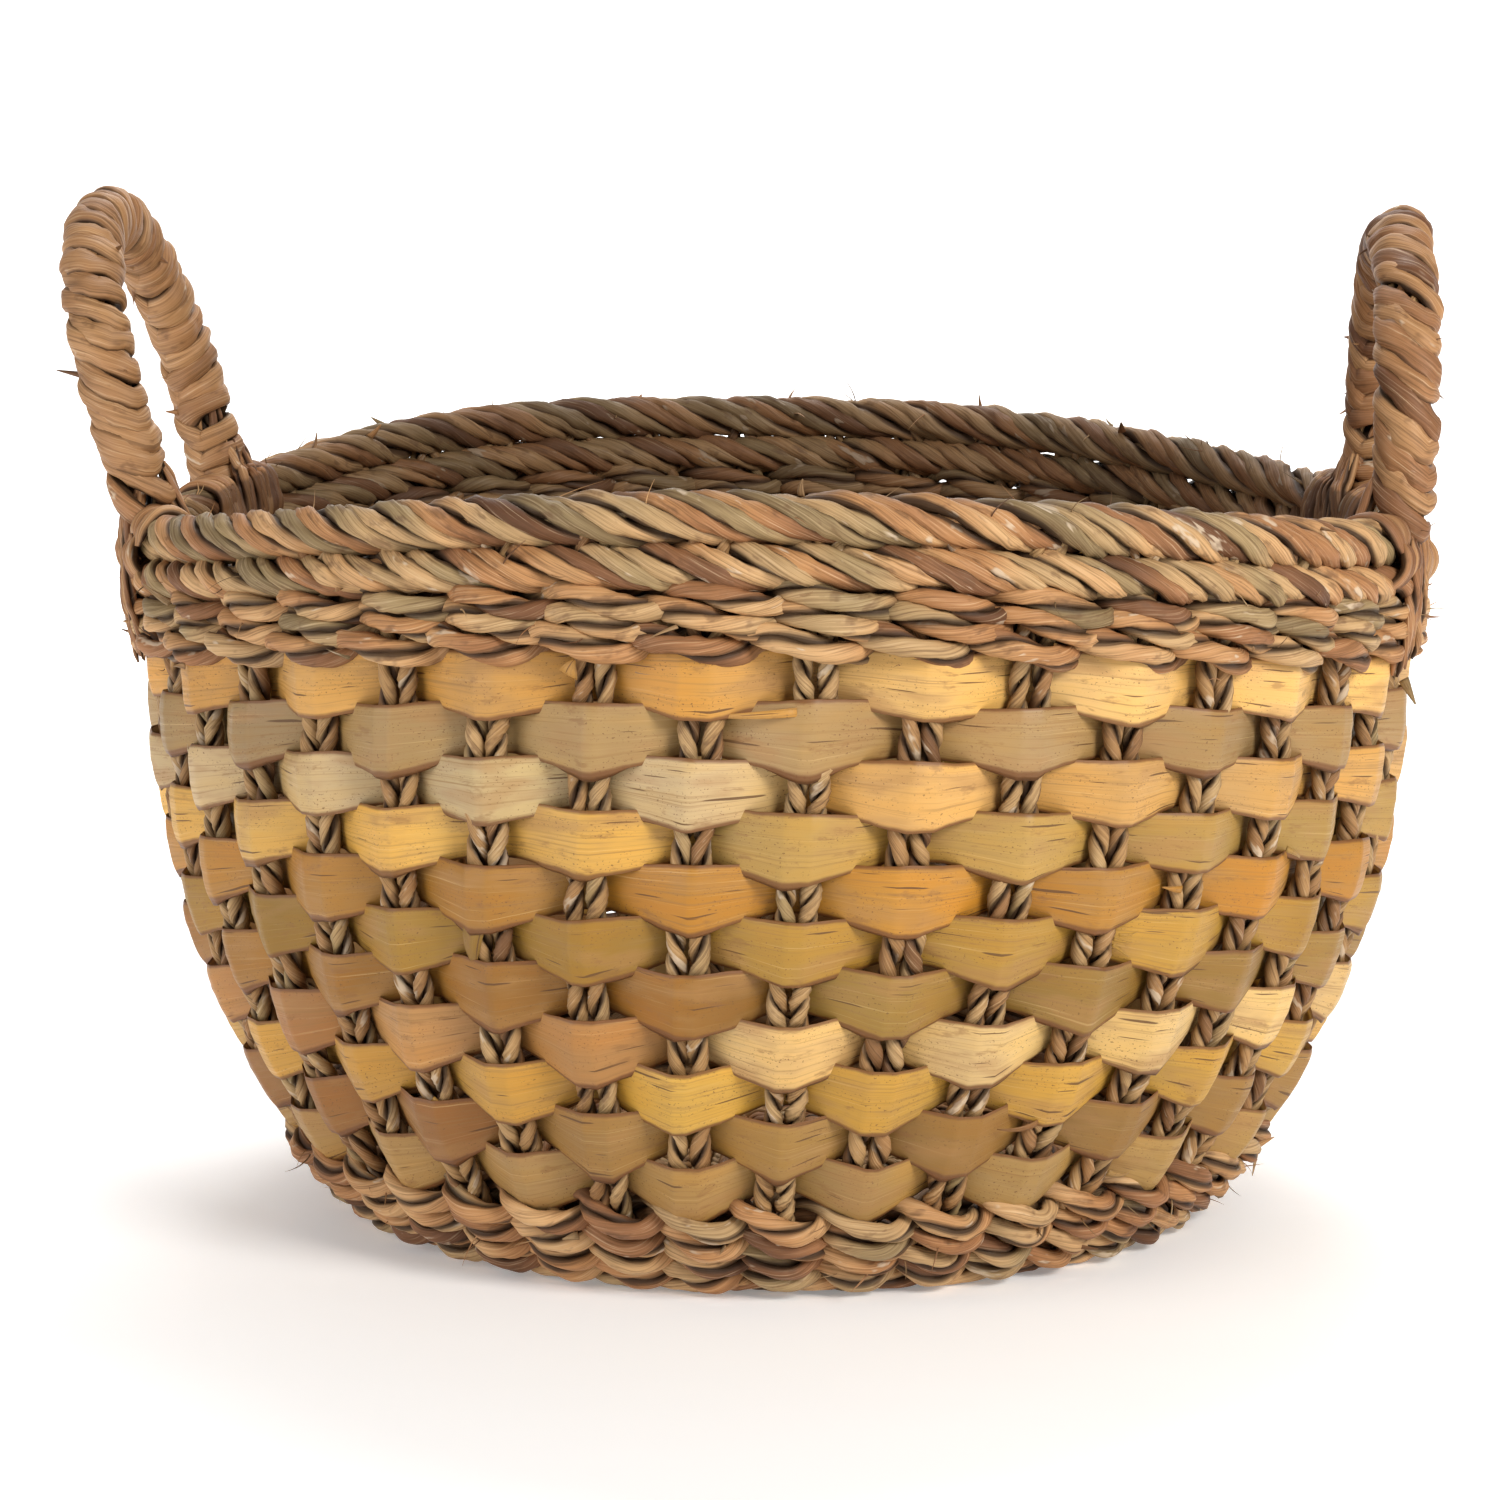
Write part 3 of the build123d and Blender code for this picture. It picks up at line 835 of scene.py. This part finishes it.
def add_tail(weave, name, angle, spread, face, low, rng):
    """A strand of a leg's bundle: over the rim and down one face of the wall."""
    base = angle + spread / RIM_RADIUS
    top = HANDLES[name]["pivot"][2] + rng.uniform(1, 6) * MM
    gap = rng.uniform(7.8, 9.2) * MM
    free = RIM_TOP - 24 * MM        # below this it lies on the wall
    route = [(top, 2 * MM, 0.35), (top - 9 * MM, 5.6 * MM, 0.6), (top - 18 * MM, 8.4 * MM, 0.8),
             (free, 9 * MM, 0.95)]  # height, how far out, and how far the bundle has spread
    steps = 3
    for step in range(1, steps + 1):
        z = free + (low - free) * step / steps
        route.append((z, gap * (1 - 0.25 * step / steps), 1.0 + 0.15 * step))
    points = []
    for z, out, pull in route:
        at = angle + spread * pull / RIM_RADIUS
        radius = float(wall_radius(min(z, RIM_TOP))) if z < RIM_TOP - 2 * BORDER_HALF else RIM_RADIUS
        lift = float(rise(at, min(z, RIM_TOP)))
        radius += face * out
        points.append((radius * math.cos(at), radius * math.sin(at), z + lift * (z < RIM_TOP)))
    path = smooth_route(points, 70)
    out = np.stack([np.cos(base) + 0 * path[:, 0], np.sin(base) + 0 * path[:, 0], 0 * path[:, 0]], -1)
    radius = rng.uniform(1.7, 2.4) * MM
    add_strand(weave, path, out * face, False, radius, rng.uniform(28, 50) * MM, rng, 2, -1, 7, True)


def add_loop(weave, angle, rng, tilt):
    """One turn of lashing round the border rope."""
    turn = np.linspace(-0.2, TAU + 0.2, 64)
    a = angle + tilt / RIM_RADIUS * np.sin(turn / 2 + rng.uniform(0, TAU)) + 0 * turn
    reach = 7.9 * MM + wobble(turn, rng, 3.0, 0.5 * MM, 2) + 0.15 * MM * turn
    stretch = 1 + 0.45 * np.clip(-np.sin(turn), 0, 1)
    path = rim_point(a, reach * stretch, turn)
    out = path - rim_point(a, 0, turn)
    for half in (-1, 1):
        shifted = rim_point(a + half * 1.5 * MM / RIM_RADIUS, reach * stretch, turn)
        add_ply(weave, shifted, out, False, 1.7 * MM, 2.2 * MM, rng, 9, True, 1.3)


def build_lashing(name, end):
    """Everything that ties one leg down: tails of the bundle, and loops round the rim."""
    word = "front" if end < 0 else "back"
    rng = np.random.default_rng(540 + 2 * (name == "left") + (end > 0))
    angle = leg_angle(name, end)
    tails = Weave()
    for index in range(6):
        spread = (index - 2.5) * 3.6 * MM
        low = RIM_TOP - rng.uniform(62, 78) * MM
        add_tail(tails, name, angle, spread, -1, low, rng)
    for index in range(5):
        spread = (index - 2.0) * 3.4 * MM
        low = RIM_TOP - rng.uniform(40, 47) * MM
        add_tail(tails, name, angle, spread, 1, low, rng)
    piece = tails.piece(f"lashing_tails_{name}_{word}", wrap_grass, "handle_wrap", body=None,
                        nodes=[f"lashing_{name}_{word}"])
    blend_handle(piece)
    loops = Weave()
    for spread in (-15.5, -10.5, 10.0, 15.0, 20.0):
        add_loop(loops, angle + (spread + rng.uniform(-0.8, 0.8)) * MM / RIM_RADIUS, rng, 3 * MM)
    loops.piece(f"lashing_loops_{name}_{word}", wrap_grass, "handle_wrap")


# ---------------- loose ends
def add_curl(weave, start, way, bend, length, thick, wide, rng, sides=5, steps=9):
    """A thin pointed end that leaves its cord at start, along way, and curls towards bend."""
    t = np.linspace(0, 1, steps)[:, None]
    path = start + unit(way) * length * t + unit(bend) * length * 0.45 * t**2
    path[:, 2] = np.maximum(path[:, 2], wide + 0.3 * MM)
    along = tangents(path, False)
    out = unit(np.cross(along, np.cross(bend, way) + 1e-6))
    across = np.cross(along, out)
    turn = TAU * np.arange(sides) / sides
    size = (1 - 0.85 * t**1.5)
    points = (path[:, None] + out[:, None] * (np.cos(turn)[None, :] * thick * size)[..., None]
              + across[:, None] * (np.sin(turn)[None, :] * wide * size)[..., None])
    s = lengths_along(path)
    weave.grid(points, s, turn * wide, rng.uniform(0, 1, 3), 0.0, False)


def wall_surface(angle, z, offset):
    """A point of the wall with its outward, upward and sideways directions."""
    point = wall_point(angle, z, offset)
    out = unit(wall_point(angle, z, offset + 5 * MM) - point)
    side = unit(wall_point(angle + 0.01, z, offset) - point)
    return point, out, side, np.cross(out, side)


def build_loose_ends():
    """Hairs and cut ends that stand out of the twined rows and the border."""
    rng = np.random.default_rng(700)
    weave = Weave()
    bands = [(0.78 * RIM_TOP, 0.93 * RIM_TOP, 7.5 * MM), (9 * MM, 29 * MM, 6.5 * MM)]
    for index in range(240):
        angle = rng.uniform(0, TAU)
        if index % 3 == 0:
            twist = rng.uniform(0.1, 3.0)
            point = rim_point(angle, 6.0 * MM, twist)
            out = unit(point - rim_point(angle, 0, twist))
            side = np.array([-math.sin(angle), math.cos(angle), 0.0])
            up = np.cross(out, side)
        else:
            low, high, offset = bands[index % 3 - 1]
            point, out, side, up = wall_surface(angle, rng.uniform(low, high), offset)
        way = out * rng.uniform(0.25, 1.0) + side * rng.uniform(-1, 1) + up * rng.uniform(-0.5, 0.8)
        bend = side * rng.uniform(-1, 1) + up * rng.uniform(-1, 1) + out * 0.2
        flake = rng.uniform() < 0.25
        length = (rng.uniform(3.5, 8) if flake else rng.uniform(4, 11)) * MM
        wide = (rng.uniform(0.7, 1.7) if flake else rng.uniform(0.12, 0.28)) * MM
        thick = 0.22 * MM if flake else wide
        add_curl(weave, point, way, bend, length, thick, wide, rng)
    weave.piece("loose_cord_ends", seagrass, "seagrass_cord")


# Cut and torn ends that show: row, stake, height and offset on the wall, sideways, upwards and
# outwards course, length, half width.
TORN_ENDS = [
    (1, 29.85, -7.8, 4.5, -1.0, -0.10, 0.14, 27, 1.4),
    (1, 27.80, 1.0, 3.2, 0.3, 0.5, 0.55, 7, 3.2),
    (2, 31.20, -7.0, 4.0, -0.9, -0.4, 0.15, 17, 1.2),
    (6, 26.90, 4.0, 3.6, -0.25, -1.0, 0.30, 14, 3.8),
    (6, 33.15, 1.0, 3.2, 0.9, -0.2, 0.35, 8, 0.6),
    (6, 33.20, 2.0, 3.2, 0.9, 0.1, 0.45, 7, 0.5),
    (6, 33.15, -0.5, 3.2, 0.8, -0.5, 0.40, 9, 0.5),
    (9, 26.10, -6.0, 3.2, -0.6, -0.5, 0.40, 7, 1.6),
    (4, 35.30, -5.0, 3.2, 0.8, -0.3, 0.30, 11, 1.0),
    (3, 22.90, 3.0, 3.2, -0.7, 0.4, 0.40, 9, 1.4),
]


def build_slivers():
    """Split slivers of bark that stand away from the strips, and cut ends tucked between them."""
    rng = np.random.default_rng(720)
    weave = Weave()
    ends = list(TORN_ENDS)
    for _ in range(12):
        row = int(rng.integers(1, STRIP_ROWS + 1))
        stake = int(rng.integers(-6, 12)) * 2 + (row + 1) % 2
        hand = rng.choice([-1, 1])
        ends.append((row, stake + hand * 0.15, rng.uniform(-6, 6), 3.2, hand, rng.uniform(-0.4, 0.4),
                     rng.uniform(0.3, 0.5), rng.uniform(6, 14), rng.uniform(0.6, 1.8)))
    for row, stake, height, offset, sideways, upwards, outwards, length, wide in ends:
        middle = middle_of(strip_nodes[row - 1]) + STRIP_LIFT
        angle = FIRST_STAKE + TAU / STAKES * stake
        point, out, side, up = wall_surface(angle, middle + height * MM, offset * MM)
        way = side * sideways + up * upwards + out * outwards
        first = weave.count
        add_curl(weave, point, way, -0.25 * out, length * MM, 0.3 * MM, wide * MM, rng, 6, 12)
        tone = np.array(STRIP_TONES[row - 1][int(stake > JOINS[row - 1])]) * rng.uniform(0.8, 1.0)
        weave.tints[-1] = np.broadcast_to(tone, (weave.count - first, 3))
    weave.piece("bark_slivers", bark, "bark_strip")


# ---------------- base
BASE_Z = 6.3 * MM
BASE_ROWS = 12
BASE_PITCH = 6.1 * MM
BASE_FIRST = 51 * MM        # radius of the innermost row
SPOKE_ENDS = (46 * MM, 124 * MM)
CROSS_REACH = 48 * MM


def base_row(row, rng):
    """One twined row of the base: strands pass over and under the spokes in turn."""
    weave = Weave()
    radius = BASE_FIRST + row * BASE_PITCH
    samples = 260 + 45 * row
    a = np.arange(samples) / samples * TAU
    for strand in range(2):
        phase = STAKES / 2 * a + math.pi * strand + wobble(a, rng, 2.0, 0.15, 2, TAU)
        spread = radius + 1.1 * MM * np.sin(phase) + wobble(a, rng, 1.2, 0.4 * MM, 3, TAU)
        z = BASE_Z + 2.9 * MM * np.cos(phase)
        path = np.stack([spread * np.cos(a), spread * np.sin(a), z], -1)
        up = np.stack([0 * a, 0 * a, np.cos(phase)], -1) + 0.3 * path / radius
        add_strand(weave, path, up, True, 2.5 * MM, 26 * MM, rng, 2, -1, 6)
    return weave


def straight_cord(weave, start, end, radius, rng):
    path = np.linspace(start, end, 60)
    path[:, 2] += wobble(np.linspace(0, 0.1, 60), rng, 0.05, 0.15 * MM, 2)
    out = np.broadcast_to([0.0, 0.0, 1.0], path.shape)
    add_strand(weave, path, out, False, radius, 17 * MM, rng, 2, 1, 6)


def build_base():
    """The woven bottom: twined rows, the spokes they hold and a cross of bars in the middle."""
    rng = np.random.default_rng(600)
    nodes = sorted(name for name in frame["nodes"] if name.startswith("base_twine"))
    for row in range(BASE_ROWS):
        weave = base_row(row, rng)
        taken = [nodes[row // 2]] if row % 2 == 0 and row < 10 else []
        weave.piece(f"base_twined_row_{row + 1:02d}", seagrass, "seagrass_cord", nodes=taken)
    spokes = Weave()
    for index in range(STAKES):
        angle = stake_angle(index) + STAKE_LEAN
        for side in (-1, 1):
            way = np.array([math.cos(angle), math.sin(angle), 0])
            beside = np.array([-way[1], way[0], 0]) * side * 2.0 * MM
            start = way * SPOKE_ENDS[0] + beside * 0.9 + [0, 0, BASE_Z]
            end = way * SPOKE_ENDS[1] + beside * 1.4 + [0, 0, BASE_Z]
            straight_cord(spokes, start, end, 2.1 * MM, rng)
    spokes.piece("base_spoke_cords", stake_cord, "stake_cord", nodes=["base_spokes"])
    for node, z, turn in (("base_cross_lower", 4.4 * MM, 0), ("base_cross_upper", 8.6 * MM, 1)):
        bars = Weave()
        for index in range(5):
            across = (index - 2) * 13 * MM
            reach = math.sqrt(CROSS_REACH**2 - across**2)
            ends = [[-reach, across, z], [reach, across, z]]
            if turn:
                ends = [[y, x, z] for x, y, _ in ends]
            for side in (-1, 1):
                shift = np.array([side * 2.6 * MM * turn, side * 2.6 * MM * (1 - turn), 0])
                straight_cord(bars, np.array(ends[0]) + shift, np.array(ends[1]) + shift, 2.7 * MM, rng)
        bars.piece(node.replace("base_cross", "base_cross_cords"), stake_cord, "stake_cord", nodes=[node])


# ---------------- stage, lights, camera
def build_stage():
    """Pale floor that curves up behind the basket, so there is no horizon."""
    half, back, bend, steps = 4.0, 2.2, 1.2, 16
    profile = [(-3.0, 0.0)]
    for step in range(steps + 1):
        turn = math.pi / 2 * step / steps
        profile.append((back + bend * math.sin(turn), bend * (1 - math.cos(turn))))
    profile.append((back + bend, 4.0))
    points = [(x, y, z) for y, z in profile for x in (-half, half)]
    faces = [(2 * i, 2 * i + 1, 2 * i + 3, 2 * i + 2) for i in range(len(profile) - 1)]
    mesh = bpy.data.meshes.new("floor")
    mesh.from_pydata(points, [], faces)
    mesh.polygons.foreach_set("use_smooth", [True] * len(faces))
    floor = bpy.data.objects.new("floor", mesh)
    bpy.context.scene.collection.objects.link(floor)
    material, nodes, surface = shader("pale_floor")
    nodes.feed(surface, {"Base Color": (0.96, 0.96, 0.96, 1), "Roughness": 0.8,
                         "Emission Color": (1, 1, 1, 1), "Emission Strength": 0.2})
    mesh.materials.append(material)


def area_light(name, place, target, size, power, colour=(1, 1, 1)):
    data = bpy.data.lights.new(name, "AREA")
    data.shape = "DISK"
    data.size = size
    data.energy = power
    data.color = colour
    light = bpy.data.objects.new(name, data)
    bpy.context.scene.collection.objects.link(light)
    aim = np.array(target) - np.array(place)
    light.location = place
    light.rotation_euler = (math.acos(-aim[2] / np.linalg.norm(aim)), 0,
                            math.atan2(aim[1], aim[0]) - math.pi / 2)


def build_lights():
    world = bpy.data.worlds.new("studio")
    world.use_nodes = True
    background = world.node_tree.nodes["Background"].inputs
    background["Color"].default_value = (1, 1, 1, 1)
    background["Strength"].default_value = 0.24
    bpy.context.scene.world = world
    middle = (0, 0, 0.12)
    area_light("key_light", (1.05, -1.25, 0.95), middle, 0.7, 25, (1, 0.98, 0.95))
    area_light("fill_light", (-1.4, -0.95, 0.45), middle, 1.2, 12, (0.98, 0.98, 1))
    area_light("top_light", (-0.1, 0.7, 1.6), middle, 1.0, 2.5)
    area_light("backdrop_light", (0, 1.3, 2.6), (0, 3.3, 0.6), 1.6, 110)
    bpy.context.scene.view_settings.view_transform = "Standard"


def build_camera():
    data = bpy.data.cameras.new("camera")
    data.lens = 96
    data.sensor_width = 36
    camera = bpy.data.objects.new("camera", data)
    bpy.context.scene.collection.objects.link(camera)
    distance, height = 1.24, 0.303
    side = math.radians(3.5)
    down = math.radians(7.5)
    nudge = math.radians(0.395)     # turn to the left that puts the basket in the middle
    camera.location = (distance * math.sin(side), -distance * math.cos(side), height)
    camera.rotation_euler = (math.pi / 2 - down, 0, side + nudge)
    bpy.context.scene.camera = camera


build_stage()
build_lights()
build_camera()
build_stakes()
for strip_row in range(1, STRIP_ROWS + 1):
    build_strip(strip_row)
build_bands()
build_foot()
build_border()
build_loose_ends()
build_slivers()
build_base()
for handle_name in HANDLES:
    build_handle_core(handle_name)
    build_handle_wrap(handle_name)
    for leg_end in (-1, 1):
        build_lashing(handle_name, leg_end)
